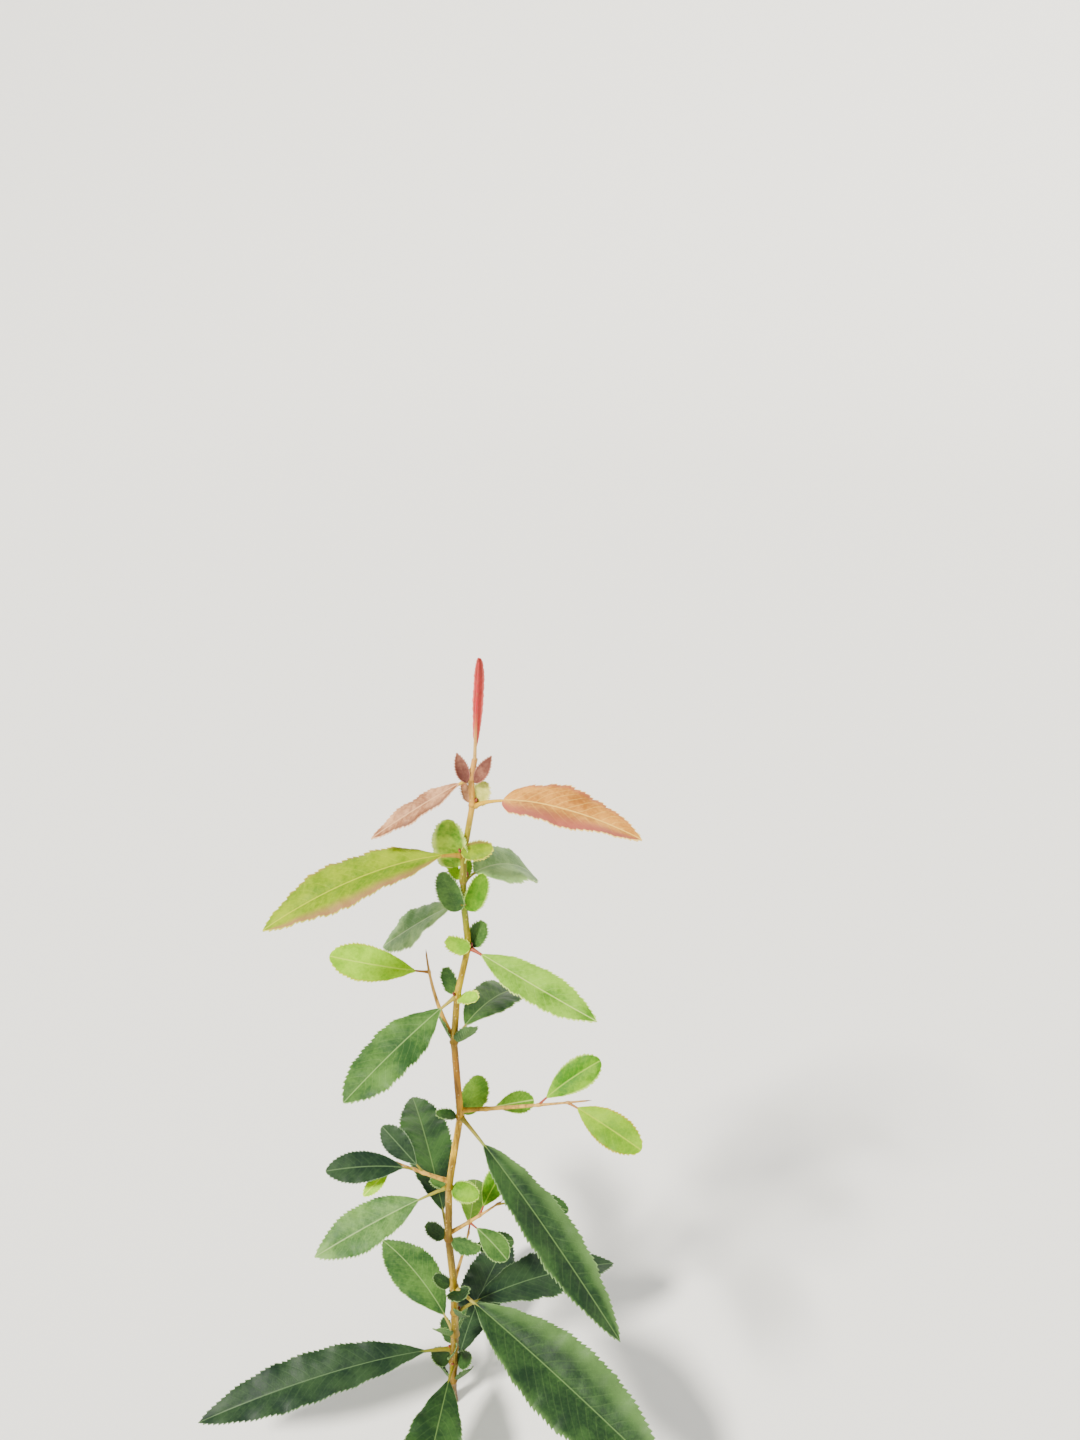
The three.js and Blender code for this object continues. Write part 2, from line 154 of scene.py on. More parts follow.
SHOOT_RADIUS = 1.25
THORN_RADIUS = 0.38
print("side shoots:", len(SHOOTS), "with", sum(len(rows) for _, _, rows in SHOOTS), "small leaves")

# %% Small helpers for numbers
def lerp(low, high, share):
    return low + (high - low) * share


def clamp(value, low=0.0, high=1.0):
    return max(low, min(high, value))


def wobble(part, purpose):
    """A number from 0 to 1 that looks random, and is fixed for a part and a purpose."""
    x = sin(part * 12.9898 + purpose * 78.233) * 43758.5453
    return x - floor(x)


def between(low, high, part, purpose):
    return lerp(low, high, wobble(part, purpose))


def heading(bearing):
    return Vector((cos(radians(bearing)), sin(radians(bearing)), 0))


print("leaf 3 gets a sweep of", round(between(-10, 10, 3, 2), 2), "degrees")

# %% The stem's line and thickness
FOOT_RADIUS = 3.9
STEM_RADIUS = 2.45
TIP_RADIUS = 1.3
FLARE_HEIGHT = 9
SWELL = 0.2
SWELL_HALF = 3.2
KINK = 0.9
STEM_LINE = [Vector((0, 0, 0))]
STEM_LINE += [Vector((row[1], -KINK * sin(radians(row[2])), row[0])) for row in JOINTS]
STEM_LINE += [Vector((TIP_SWAY, 0, TIP_HEIGHT))]


def stem_centre(z):
    above = next((i for i, point in enumerate(STEM_LINE) if point.z >= z), len(STEM_LINE) - 1)
    low, high = STEM_LINE[max(1, above) - 1], STEM_LINE[max(1, above)]
    return low.lerp(high, (z - low.z) / (high.z - low.z))


def stem_radius(z):
    taper = lerp(STEM_RADIUS, TIP_RADIUS, z / TIP_HEIGHT)
    nearest = min(abs(row[0] - z) for row in JOINTS)
    swell = SWELL * max(0, 1 - nearest / SWELL_HALF)
    return taper * (1 + swell) + (FOOT_RADIUS - STEM_RADIUS) * exp(-z / FLARE_HEIGHT)


print("stem radius at 100 mm:", round(stem_radius(100), 2), "mm")

# %% The line of a stalk or a shoot
PATH_STEPS = 160
DROOP_POWER = 0.6


class Path:
    """A line that starts at a bearing and a rise, and droops. It gives a point and a frame at any length."""

    def __init__(self, start, bearing, rise, droop, total, sweep=0, roll=0, twist=0):
        self.pose = (bearing, rise, droop, sweep, roll, twist)
        self.total = total
        self.points = [start.copy()]
        for i in range(PATH_STEPS):
            along = self.frame((i + 0.5) / PATH_STEPS)[0]
            self.points.append(self.points[-1] + along * (total / PATH_STEPS))

    def frame(self, share):
        bearing, rise, droop, sweep, roll, twist = self.pose
        b = radians(bearing + sweep * share)
        e = radians(rise - droop * clamp(share) ** DROOP_POWER)
        r = radians(roll + twist * share)
        along = Vector((cos(e) * cos(b), cos(e) * sin(b), sin(e)))
        level = Vector((-sin(b), cos(b), 0))
        upright = along.cross(level)
        return along, level * cos(r) + upright * sin(r), upright * cos(r) - level * sin(r)

    def at(self, length):
        """The point, and the directions along the line, to its side and up from it."""
        share = length / self.total
        along, side, up = self.frame(share)
        if share < 0:
            return self.points[0] + along * length, along, side, up
        place = clamp(share) * PATH_STEPS
        i = min(PATH_STEPS - 1, int(place))
        return self.points[i].lerp(self.points[i + 1], place - i), along, side, up


trial = Path(Vector((0, 0, 0)), 0, 20, 40, 100)
print("a 100 mm leaf that droops by 40 degrees ends at", [round(c, 1) for c in trial.at(100)[0]])

# %% [markdown]
# ## Shader arithmetic
# Every finish here is a sum of patterns: veins, blotches, dots, streaks. Wired by hand, that is dozens of Math
# nodes. A small class wraps a node's output, so that an expression such as `1 - vein * 0.5` adds the nodes by
# itself. Colours go through a Mix node instead, because a Math node would turn them grey.

# %% A value in a node tree
class Signal:
    """One output of a shader node. Arithmetic on it adds Math nodes to its finish."""

    def __init__(self, finish, socket):
        self.finish = finish
        self.socket = socket

    def math(self, operation, *values):
        return self.finish.node("ShaderNodeMath", {"operation": operation}, dict(enumerate(values)))

    def __add__(self, other):
        return self.math("ADD", self, other)

    def __sub__(self, other):
        return self.math("SUBTRACT", self, other)

    def __rsub__(self, other):
        return self.math("SUBTRACT", other, self)

    def __mul__(self, other):
        return self.math("MULTIPLY", self, other)

    def __truediv__(self, other):
        return self.math("DIVIDE", self, other)

    def __abs__(self):
        return self.math("ABSOLUTE", self)

    __radd__ = __add__
    __rmul__ = __mul__

    def fraction(self):
        return self.math("FRACT", self)

    def atleast(self, other):
        return self.math("MAXIMUM", self, other)

    def step(self, low, high):
        """0 below low, 1 above high, and smooth between."""
        sockets = {"Value": self, "From Min": low, "From Max": high}
        return self.finish.node("ShaderNodeMapRange", {"interpolation_type": "SMOOTHSTEP"}, sockets)


print("besides arithmetic, a signal has", [name for name in vars(Signal) if not name.startswith("_")])

# %% A finish
class Finish:
    """A material, with one method that adds nodes to it and others that use that one."""

    def __init__(self, name, roughness=0.5, specular=0.4):
        self.material = bpy.data.materials.new(name)
        self.material.use_nodes = True
        self.tree = self.material.node_tree
        self.shader = self.tree.nodes["Principled BSDF"]
        self.shader.inputs["Roughness"].default_value = roughness
        self.shader.inputs["Specular IOR Level"].default_value = specular

    def node(self, kind, settings=None, sockets=None, output=0):
        made = self.tree.nodes.new(kind)
        for name, value in (settings or {}).items():
            setattr(made, name, value)
        for name, value in (sockets or {}).items():
            self.put(made.inputs[name], value)
        return Signal(self, made.outputs[output])

    def put(self, socket, value):
        if isinstance(value, Signal):
            self.tree.links.new(value.socket, socket)
        else:
            socket.default_value = value

    def feed(self, name, value):
        self.put(self.shader.inputs[name], value)

    def place(self):
        return self.node("ShaderNodeTexCoord", output="Object")

    def chart(self, name):
        """The two numbers of a piece's own chart, as signals."""
        vector = self.node("ShaderNodeUVMap", {"uv_map": name})
        parts = self.node("ShaderNodeSeparateXYZ", None, {0: vector})
        return parts, Signal(self, parts.socket.node.outputs[1])

    def noise(self, size, detail=3, stretch=(1, 1, 1)):
        """Soft blotches that are about size millimetres across."""
        scale = tuple(s / MM / size for s in stretch)
        mapped = self.node("ShaderNodeMapping", None, {"Vector": self.place(), "Scale": scale})
        return self.node("ShaderNodeTexNoise", None, {"Vector": mapped, "Scale": 1, "Detail": detail})

    def net(self, size):
        """How far a spot is from the edges of cells that are about size millimetres across."""
        sockets = {"Vector": self.place(), "Scale": 1 / MM / size}
        return self.node("ShaderNodeTexVoronoi", {"feature": "DISTANCE_TO_EDGE"}, sockets)

    def mix(self, first, second, factor):
        """One colour turned into another by a factor."""
        return self.node("ShaderNodeMix", {"data_type": "RGBA"}, {0: factor, 6: first, 7: second}, output=2)

    def bump(self, height, depth, strength):
        """The normal of a surface whose relief is height times depth millimetres."""
        sockets = {"Height": height, "Distance": depth * MM, "Strength": strength}
        self.feed("Normal", self.node("ShaderNodeBump", None, sockets))


def colour(red, green, blue):
    """A colour as an artist picks it, 0 to 255, turned into the linear values that a shader takes."""
    def linear(c):
        return ((c / 255 + 0.055) / 1.055) ** 2.4 if c > 10 else c / 255 / 12.92

    return linear(red), linear(green), linear(blue), 1


print("leaf green in linear values:", [round(c, 3) for c in colour(79, 125, 63)])

# %% [markdown]
# ## Leaf finishes
# A quince leaf is leathery: the upper face is satin and darker, with a pale midrib, sunk side veins and a thin
# pale rim at the teeth, and the underside is dull and greyer with raised veins. The pattern has to follow the
# blade, so each blade carries two charts: one that runs from margin to margin and base to tip, and one whose first
# number counts the side veins and whose second is the distance from the midrib in centimetres. The tints run from
# dark green at the foot of the plant to bronze and red at its tip, where the leaves are young. They are also darker
# at the foot partly as painted shade, and paler towards the top partly as painted sunlight.

# %% Tints
# Deep colour, light colour, vein colour, margin colour, how far the margin's colour reaches in, from 0 to 1, and
# by which share it reaches further on one side than on the other. For leaves 6 and 9 and for the tip leaf, the
# margin colour that spreads over one half is a painted sheen.
TINTS = {
    # The dark tints of the lowest leaves hold painted shade as well as their own deep green.
    "dark": ((18, 38, 24), (40, 63, 35), (76, 100, 64), (84, 110, 60), 0.03, 0),
    "green": ((21, 45, 21), (48, 78, 34), (88, 116, 62), (96, 126, 64), 0.03, 0),
    # Green whose pale margin colour spreads over most of one half: a painted sheen where that half turns to the
    # sky.
    "sheen": ((18, 40, 20), (46, 75, 34), (90, 118, 66), (82, 114, 60), 0.32, 0.8),
    "mild": ((36, 69, 29), (77, 114, 47), (120, 150, 82), (116, 148, 72), 0.03, 0),
    "pale": ((54, 90, 40), (102, 138, 68), (136, 162, 98), (122, 152, 88), 0.03, 0),
    "mist": ((74, 112, 56), (134, 168, 96), (160, 184, 122), (146, 172, 104), 0.03, 0),
    # A paler copy of mist for leaf 13, which turns away from the light: painted light.
    "haze": ((90, 130, 70), (156, 190, 118), (182, 204, 146), (168, 192, 126), 0.03, 0),
    "fresh": ((72, 120, 20), (128, 174, 44), (176, 200, 100), (160, 186, 80), 0.05, 0),
    "vivid": ((50, 104, 4), (112, 156, 16), (136, 168, 46), (184, 206, 104), 0.1, 0),
    "glow": ((62, 112, 10), (158, 186, 42), (160, 190, 70), (206, 220, 120), 0.22, 0),
    # A darker copy of lime, with a pinker margin, for a leaf that faces the sun: painted shade that holds back the
    # light it gets.
    "sunny": ((80, 124, 0), (124, 164, 0), (150, 172, 20), (176, 104, 48), 0.08, 0),
    "lime": ((106, 160, 0), (160, 208, 6), (186, 214, 60), (170, 140, 44), 0.08, 0),
    # Its brown margin colour reaches much further in on one side than on the other.
    "olive": ((80, 116, 0), (136, 158, 0), (172, 180, 34), (150, 102, 72), 0.24, 0.7),
    "cream": ((128, 140, 40), (210, 208, 104), (214, 212, 130), (196, 190, 120), 0.2, 0),
    # Its pink margin colour reaches over almost all of one half.
    "bronze": ((146, 88, 26), (212, 148, 60), (242, 200, 92), (156, 74, 74), 0.42, -0.8),
    "dusk": ((126, 78, 50), (206, 156, 114), (206, 160, 116), (96, 54, 36), 0.22, 0.6),
    "plum": ((96, 54, 46), (166, 112, 88), (164, 112, 84), (120, 64, 58), 0.3, 0),
    # Crimson with a pale pink margin. The pink that spreads over most of one half is a painted sheen on the lit
    # side of the folded tip leaf.
    "red": ((122, 0, 4), (206, 4, 20), (164, 4, 18), (238, 120, 112), 0.26, -0.9),
}
# Leaves whose faces have another tint than their row says.
FACES = {
    "leaf_02": "green", "leaf_04": "mild", "leaf_06": "sheen", "leaf_09": "sheen", "leaf_10": "mild",
    "leaf_11": "mild", "leaf_13": "haze", "leaf_14": "mist", "leaf_17": "dusk",
    "side_shoot_right_leaf_1": "vivid", "side_shoot_right_leaf_2": "sunny",
    "side_shoot_right_low_leaf_2": "vivid", "side_shoot_right_low_leaf_3": "mild",
}
print("tints:", ", ".join(TINTS))

# %% Where the veins and the margin are
# Where each mask begins to fade and where it ends: from a side vein's middle as a share of the gap to the next, and
# from the midrib's middle and from the rim in centimetres.
VEIN_HALF = (0.02, 0.1)
MIDRIB_HALF = (0.018, 0.05)
RIM_WIDTH = (0.016, 0.05)


def vein_masks(finish):
    """Masks of the side veins, the midrib and the pale rim, 1 on them and 0 away from them, and how far out a
    spot lies on its half, from 0 to 1, and across the whole blade, from -1 to 1."""
    across, along = finish.chart("blade")
    count, out = finish.chart("veins")
    across = across * 2 - 1
    outward = abs(across)
    near_vein = abs((count + 0.5).fraction() - 0.5)
    fade = 1 - outward.step(0.6, 0.96)
    side = (1 - near_vein.step(*VEIN_HALF)) * fade * (1 - along.step(0.8, 0.98))
    midrib = 1 - out.step(*MIDRIB_HALF)
    rim = out / outward.atleast(0.05) - out
    return side, midrib, 1 - rim.step(*RIM_WIDTH), outward, across


print("the midrib fades out", MIDRIB_HALF[1] * 10, "mm from its middle")

# %% The two faces of a blade
# The cells of the skin's net and the depth of its relief are in millimetres.
NET_SIZE = 1.5
SKIN_DEPTH = 0.12
MARGIN_SPREAD = 1.6
YOUNG_TINTS = ("bronze", "dusk")
PALER = 24
UNDER_GREY = (124, 146, 104)


def upper_face(tint):
    deep, light, vein, margin_and_sheen, reach, lean = TINTS[tint]
    # A strong shine would wash out a tint with hardly any blue in it.
    pure = deep[2] < 12
    finish = Finish("leaf_" + tint + "_upper", specular=0.1 if pure else 0.15)
    side, midrib, rim, outward, across = vein_masks(finish)
    blotch = finish.noise(16, detail=4)
    speckle = finish.noise(1.6, detail=2)
    shade = blotch * 0.75 + speckle * 0.25
    body = finish.mix(colour(*deep), colour(*light), shade.step(0.34, 0.66))
    body = finish.mix(body, colour(*vein), side * (0.26 if tint in YOUNG_TINTS else 0.12))
    # The margin colour reaches further in on the side that a tint leans to. Where it spreads over one half of
    # leaves 6 and 9 and of the tip leaf, it is a painted sheen.
    inner = 1 - MARGIN_SPREAD * reach * (across * lean + 1)
    body = finish.mix(body, colour(*margin_and_sheen), outward.step(inner, 1) * (0.35 + blotch))
    body = finish.mix(body, colour(*[min(255, c + PALER) for c in vein]), rim * 0.75)
    finish.feed("Base Color", finish.mix(body, colour(*vein), midrib * 0.75))
    finish.feed("Roughness", 0.42 + speckle * 0.16 + side * 0.08)
    cells = finish.net(NET_SIZE).step(0, 0.16)
    finish.bump(cells * 0.4 + finish.noise(0.9) * 0.3 - side * 0.5, SKIN_DEPTH, 0.5)
    return finish.material


def greyer(tone):
    return [round(lerp(c, grey, 0.3)) for c, grey in zip(tone, UNDER_GREY)]


def under_face(tint):
    deep, light, vein, margin_and_sheen, reach, _ = TINTS[tint]
    finish = Finish("leaf_" + tint + "_under", specular=0.12)
    side, midrib, _, outward, _ = vein_masks(finish)
    blotch = finish.noise(12, detail=4)
    body = finish.mix(colour(*greyer(deep)), colour(*greyer(light)), blotch.step(0.25, 0.75))
    body = finish.mix(body, colour(*margin_and_sheen), outward.step(1 - MARGIN_SPREAD * reach, 1) * (0.2 + blotch))
    body = finish.mix(body, colour(*greyer(vein)), (side * 0.6 + midrib * 0.5).step(0.1, 0.8))
    finish.feed("Base Color", body)
    finish.feed("Roughness", 0.62 + finish.noise(1.2) * 0.16)
    cells = finish.net(NET_SIZE).step(0, 0.14)
    finish.bump(1 - cells + side * 1.2 + finish.noise(0.5) * 0.4, SKIN_DEPTH, 0.6)
    return finish.material


UPPER = {tint: upper_face(tint) for tint in TINTS}
UNDER = {tint: under_face(tint) for tint in TINTS}
print("leaf finishes:", len(UPPER) + len(UNDER))

# %% Stalks
# Tint of a leaf: colour of its stalk at the stem, and of the midrib that it runs into.
STALK_TONES = {
    "dark": ((124, 116, 24), (72, 106, 44)),
    "green": ((156, 140, 50), (86, 124, 46)),
    "pale": ((136, 130, 30), (122, 150, 74)),
    "fresh": ((146, 66, 40), (158, 184, 66)),
    "lime": ((156, 104, 40), (176, 190, 50)),
    "olive": ((160, 124, 30), (172, 172, 40)),
    "bronze": ((196, 154, 30), (216, 164, 44)),
    "red": ((200, 160, 84), (190, 24, 40)),
}
# From where to where one colour turns into the other, in centimetres.
STALK_TURN = (0.6, 2.6)


def stalk_finish(tint):
    near, far = STALK_TONES[tint]
    finish = Finish("stalk_" + tint, specular=0.25)
    _, along = finish.chart("veins")
    tone = finish.mix(colour(*near), colour(*far), along.step(*STALK_TURN))
    streak = finish.noise(1.4, detail=3)
    dull = colour(*[round(c * 0.72) for c in near])
    finish.feed("Base Color", finish.mix(tone, dull, streak.step(0.45, 0.8) * 0.6))
    finish.feed("Roughness", 0.42 + streak * 0.16)
    finish.bump(streak, 0.1, 0.5)
    return finish.material


STALKS = {tint: stalk_finish(tint) for tint in STALK_TONES}
print("stalk finishes:", len(STALKS))

# %% [markdown]
# ## Thin sheets and rods
# Both start from a flat grid, because a grid is easy to number: one direction runs round or across, the other
# runs along. A function then says where each point goes. A blade could get its thickness from a modifier, but the
# rim of teeth needs crisp edges, so the sheet is extruded as a whole and its old side is turned over.

# %% A grid that a function bends
# Points that lie this close are one point.
SEAM_GAP = 0.0005


def bent_grid(across, along, charts, place):
    """A grid from -1 to 1 both ways, numbered by charts, whose points a function moves."""
    mesh = bmesh.new()
    layers = {name: mesh.loops.layers.uv.new(name) for name in charts}
    bmesh.ops.create_grid(mesh, x_segments=across, y_segments=along, size=1)
    for vertex in mesh.verts:
        x, y = vertex.co.x, vertex.co.y
        for name, chart in charts.items():
            value = chart(x, y)
            for loop in vertex.link_loops:
                loop[layers[name]].uv = value
    for vertex in mesh.verts:
        vertex.co = place(vertex.co.x, vertex.co.y)
    return mesh


def close_tube(mesh):
    """Joins the seam of a grid that was rolled into a tube, and caps the tube's ends."""
    bmesh.ops.remove_doubles(mesh, verts=mesh.verts, dist=SEAM_GAP)
    bmesh.ops.holes_fill(mesh, edges=[edge for edge in mesh.edges if edge.is_boundary], sides=0)
    bmesh.ops.recalc_face_normals(mesh, faces=mesh.faces)
    return mesh


trial = bent_grid(4, 8, {}, lambda x, y: Vector((x, y, 0)))
print("a grid of 4 by 8 has", len(trial.faces), "faces")
trial.free()

# %% Thickness for a sheet
def thicken(mesh, thickness, upper, under):
    """Turns a sheet into a thin closed blade, with one material slot above and one below."""
    mesh.normal_update()
    old_faces = list(mesh.faces)
    everything = list(mesh.verts) + list(mesh.edges) + old_faces
    made = bmesh.ops.extrude_face_region(mesh, geom=everything, use_keep_orig=True)["geom"]
    new_faces = [part for part in made if isinstance(part, bmesh.types.BMFace)]
    new_verts = [part for part in made if isinstance(part, bmesh.types.BMVert)]
    for vertex in new_verts:
        vertex.co += vertex.normal * thickness
    bmesh.ops.reverse_faces(mesh, faces=old_faces)
    for face in old_faces:
        face.material_index = under
    for face in new_faces:
        face.material_index = upper
    rims = set(mesh.faces) - set(old_faces) - set(new_faces)
    for face in mesh.faces:
        face.smooth = face not in rims
    for face in rims:
        face.material_index = upper
        for edge in face.edges:
            edge.smooth = False
    return mesh


trial = thicken(bent_grid(4, 4, {}, lambda x, y: Vector((x, y, 0))), 0.1, 0, 1)
closed = all(edge.is_manifold for edge in trial.edges)
print("closed:", closed, "volume:", round(trial.calc_volume(signed=True), 3))
trial.free()

# %% A rod along a path
def rod(path, first, last, radius, sides, steps, drop=lambda length: 0):
    """A closed round rod from one length of a path to another. Its radius and how far it hangs under the path,
    as a share of the radius, are functions of the length. Both charts give the turn and the length in
    centimetres."""
    def chart(x, y):
        return 0.5 + x / 2, lerp(first, last, (y + 1) / 2) / 10

    def place(x, y):
        length = lerp(first, last, (y + 1) / 2)
        point, _, side, up = path.at(length)
        r = radius(length)
        angle = pi * x
        return point + side * (r * cos(angle)) + up * (r * (sin(angle) - drop(length)))

    mesh = close_tube(bent_grid(sides, steps, {"blade": chart, "veins": chart}, place))
    for face in mesh.faces:
        face.smooth = True
    return mesh


trial = rod(Path(Vector((0, 0, 0)), 0, 0, 0, 10), 0, 10, lambda length: 1, 12, 4)
print("a rod 10 mm long and 2 mm thick holds", round(trial.calc_volume(signed=True), 1), "cubic millimetres")
trial.free()

# %% Finish a piece
def finish_piece(name, parts, materials, node, slot):
    """Joins part meshes into one object, in metres, that stands for a node of the frame."""
    whole = bmesh.new()
    for part in parts:
        step = bpy.data.meshes.new("step")
        part.to_mesh(step)
        part.free()
        whole.from_mesh(step)
        bpy.data.meshes.remove(step)
    bmesh.ops.scale(whole, vec=(MM, MM, MM), verts=whole.verts)
    data = bpy.data.meshes.new(name)
    whole.to_mesh(data)
    whole.free()
    for material in materials:
        data.materials.append(material)
    piece = bpy.data.objects.new(name, data)
    bpy.context.collection.objects.link(piece)
    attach(piece, "root")
    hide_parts(node)
    return piece


def use_slot(mesh, index):
    for face in mesh.faces:
        face.material_index = index
    return mesh


print("each piece rides on the plant's root and stands for one of", len(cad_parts), "nodes")

# %% [markdown]
# ## Blades
# The outline of a quince blade is a long oval with pointed ends and forward-leaning teeth 1 to 3 mm apart. It
# could be cut from a flat sheet, but a grid whose rows fall on the teeth keeps them crisp with few faces: four
# rows make one tooth, three climbing to its point and one falling back. The halves fold up along the midrib, curl
# at the margins and wave, and the skin pillows up between the side veins.

# %% The shape of a blade
# In millimetres: the thickness, the least half width, and the size of the broad and the small lumps of the skin.
BLADE_THICKNESS = 0.32
LEAST_HALF = 0.3
BROAD_LUMP = 9
SMALL_LUMP = 4
# Shares: how much of a tooth climbs, over how much of the blade the teeth grow at its base and fade at its tip, how
# far a vein leans forward on its way out, how much it wiggles, and the height of a pillow for the blade's width.
TOOTH_CLIMB = 0.74
TEETH_START = 0.05
TEETH_END = 0.03
VEIN_LEAN = 0.8
VEIN_WIGGLE = 0.12
PILLOW = 0.0045
# The higher the power, the closer to the margin the teeth begin. The margin has more crinkles than waves.
MARGIN_POWER = 9
CRINKLES = 3.7


def outline(t, base, tip):
    """Half width along a blade as a share of the greatest."""
    widest = base / (base + tip)
    return (t / widest) ** base * ((1 - t) / (1 - widest)) ** tip


def blade(path, start, shape, across, upper, under):
    """One toothed blade along a path. The shape holds its sizes in millimetres and its angles in degrees. On the
    blade, u runs from -1 to 1 across it and t from 0 to 1 along it."""
    length, width, fold, curl = shape["length"], shape["width"], shape["fold"], shape["curl"]
    wave, waves, crinkle, phase = shape["wave"], shape["waves"], shape["crinkle"], shape.get("phase", 0)
    teeth = ceil(length / shape.get("pitch", 1.5 + 0.012 * length))
    depth = shape.get("depth", 0.5 + 0.016 * width)
    veins = max(5, round(7 + length / 10))
    faint, lumps = shape.get("faint", 0), shape.get("lumps", 0)

    def spread(x):
        return 0.4 * x + 0.6 * sin(x * pi / 2)

    def share_of(t):
        return outline(clamp(t, 0.003, 0.997), shape["base"], shape["tip"])

    def half(t):
        return max(width / 2 * share_of(t), LEAST_HALF)

    def vein(u, t):
        lean = VEIN_LEAN * abs(u) * half(t) * (1 + 0.5 * abs(u))
        wiggle = VEIN_WIGGLE * sin(13 * t + 5 * u + phase)
        return (t * length - lean) / length * veins + wiggle + (0.5 if u < 0 else 0)

    def relief(u, t):
        """How far the skin stands out at a spot: its waves, the swelling between its veins, and its lumps."""
        share, out, other_half = share_of(t), abs(u), u < 0
        ripple = wave * share * u * u * sin(2 * pi * waves * t + phase + (2 if other_half else 0))
        flutter = sin(2 * pi * (waves * CRINKLES * t) + 3 * phase + (1 if other_half else 0))
        ripple += crinkle * width * share * out ** 3 * flutter
        near = abs((vein(u, t) + 0.5) % 1 - 0.5) * 2
        pillow = PILLOW * width * (near ** 0.7 - 0.6) * share * (1 - out ** 6) * clamp(out * 6)
        spot = Vector((u * half(t), t * length, 40 * phase))
        bumps = noise.noise(spot / BROAD_LUMP) + 0.4 * noise.noise(spot / SMALL_LUMP)
        return ripple + (pillow + lumps * share * clamp(out * 4) * bumps)

    def place(x, y):
        u, t = spread(x), (y + 1) / 2
        bite = abs(u) ** MARGIN_POWER
        step = (t * teeth) % 1
        tooth = min(1, step / TOOTH_CLIMB) * clamp(t / TEETH_START) * clamp((1 - t) / TEETH_END)
        reach = half(t) + bite * depth * (tooth - 0.5) * (0.4 + 0.6 * share_of(t))
        angle = radians(fold - curl * abs(u) / 2)
        point, along, side, up = path.at(start + t * length)
        point = point + side * (u * reach * cos(angle)) + along * (bite * depth * 0.7 * tooth)
        return point + up * (abs(u) * half(t) * sin(angle) + relief(u, t) - BLADE_THICKNESS / 2)

    charts = {
        "blade": lambda x, y: (0.5 + spread(x) / 2, (y + 1) / 2),
        "veins": lambda x, y: (vein(spread(x), (y + 1) / 2), abs(spread(x)) * half((y + 1) / 2) / 10 + faint),
    }
    mesh = bent_grid(across, 4 * teeth, charts, place)
    mesh.normal_update()
    _, _, _, up = path.at(start + length / 2)
    if sum((face.normal.dot(up) for face in mesh.faces), 0) < 0:
        bmesh.ops.reverse_faces(mesh, faces=mesh.faces)
    return thicken(mesh, BLADE_THICKNESS, upper, under)


print("near its base a blade has", round(outline(0.1, 0.9, 0.8), 2), "of its greatest width")

# %% An ear-shaped stipule
COLLAR = 0.3
EAR_DROOP = -14
EAR_CURL = -44


def ears_of(number, bearing, tint):
    """The rows of a joint's two ears, from the table or as an even pair."""
    rows, tint = [], "green" if tint == "dark" else "mild"
    for hand in (-1, 1):
        length = EARS_EVEN["length"] + between(0, EARS_EVEN["span"], number, 20 + hand)
        rows.append((bearing + hand * EARS_EVEN["spread"], EARS_EVEN["rise"], hand * EARS_EVEN["roll"],
                     length, EARS_EVEN["width"] * length, tint))
    return EARS_SET.get(number, rows)


def ear(part, height, row, upper, under):
    """A small broad leaflet without a stalk, hollowed like a spoon, that bends upwards from its joint."""
    bearing, rise, roll, length, width, _ = row[:6]
    seat, out, drop = row[6:] or (bearing, -0.5, 0)
    young = height > YOUNG_FROM
    start = stem_centre(height) + heading(seat) * (stem_radius(height) + COLLAR + out) - Vector((0, 0, drop))
    path = Path(start, bearing, rise, EAR_DROOP, length, roll=roll)
    shape = {
        "length": length, "width": width, "curl": EAR_CURL, "fold": -4, "wave": 0.03 * width, "waves": 1.3,
        "phase": between(0, 6, part, 24), "base": 0.7 if young else 0.38, "tip": 0.9 if young else 0.44,
        "pitch": 1.4, "depth": 0.6 if young else 0.95, "crinkle": 0.03, "faint": 0.036,
    }
    return blade(path, 0, shape, 14, upper, under)


print("stipules:", sum(len(ears_of(i + 1, row[2], row[9])) for i, row in enumerate(JOINTS)))

# %% A leaf of the stem
# How far a stalk runs into the bark, and how long a leaf is, in millimetres, once its margin crinkles.
STALK_SINK = 0.8
MATURE_LENGTH = 85


